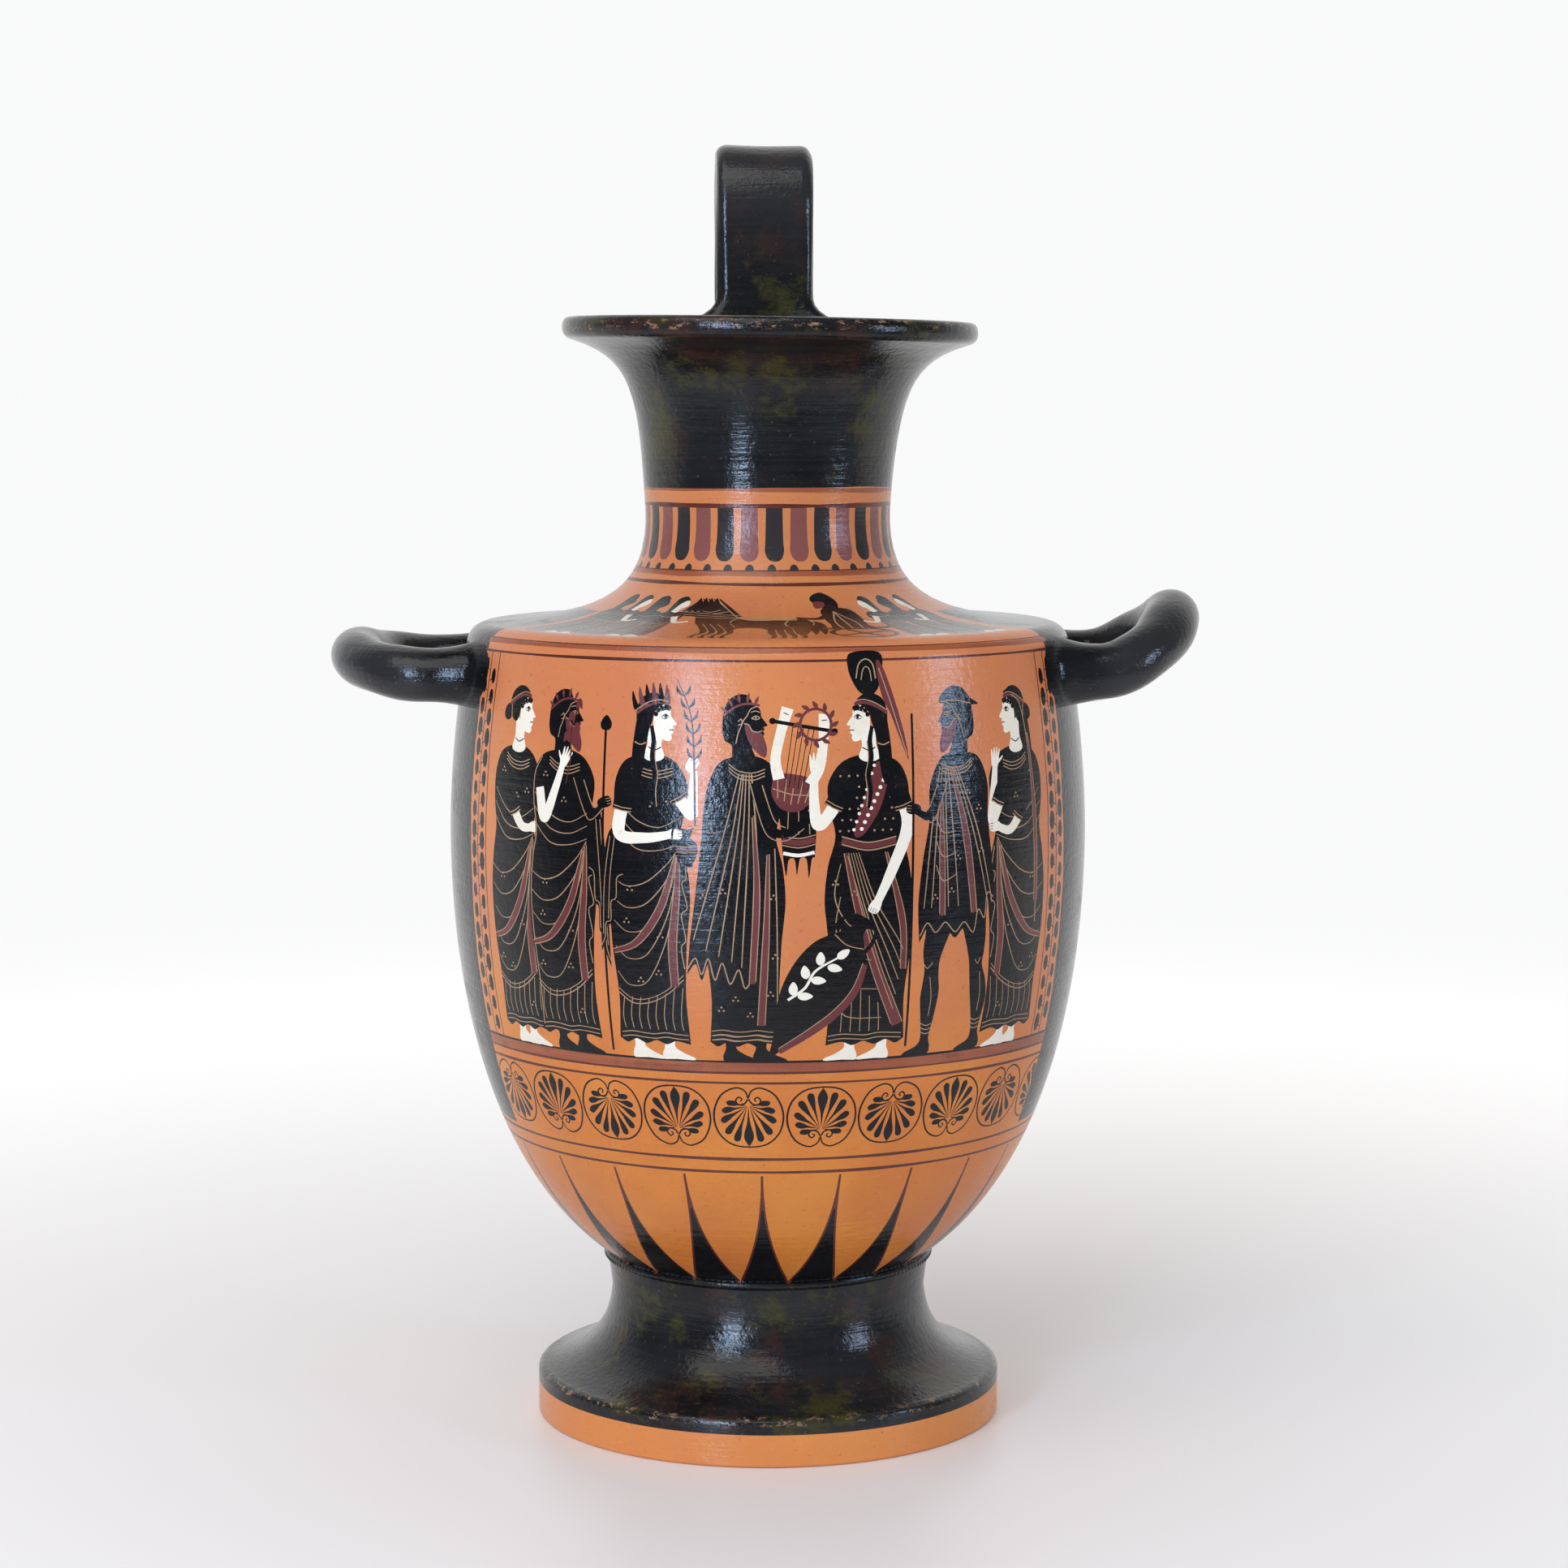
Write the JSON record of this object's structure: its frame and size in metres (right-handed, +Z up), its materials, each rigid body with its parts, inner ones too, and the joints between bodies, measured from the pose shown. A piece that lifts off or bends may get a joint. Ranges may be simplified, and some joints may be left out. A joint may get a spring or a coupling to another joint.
{
  "type": "pottery hydria",
  "caption": "Tall black-figure pottery water jar on a spreading foot, with a bar handle at each side and a high strap handle behind.",
  "frame": {"origin": "centre of the foot's underside, on the surface that the jar stands on", "axes": "+Z up along the jar's turning axis, -Y towards the painted front, +Y towards the strap handle, +X and -X through the side handles"},
  "size_m": [0.323, 0.2368, 0.4785],
  "materials": {
    "painted_clay": "satin orange clay painted with glossy black slip, dull red-purple and chalky white"
  },
  "bodies": {
    "root": {"hydria": "painted_clay"}
  },
  "joints": []
}
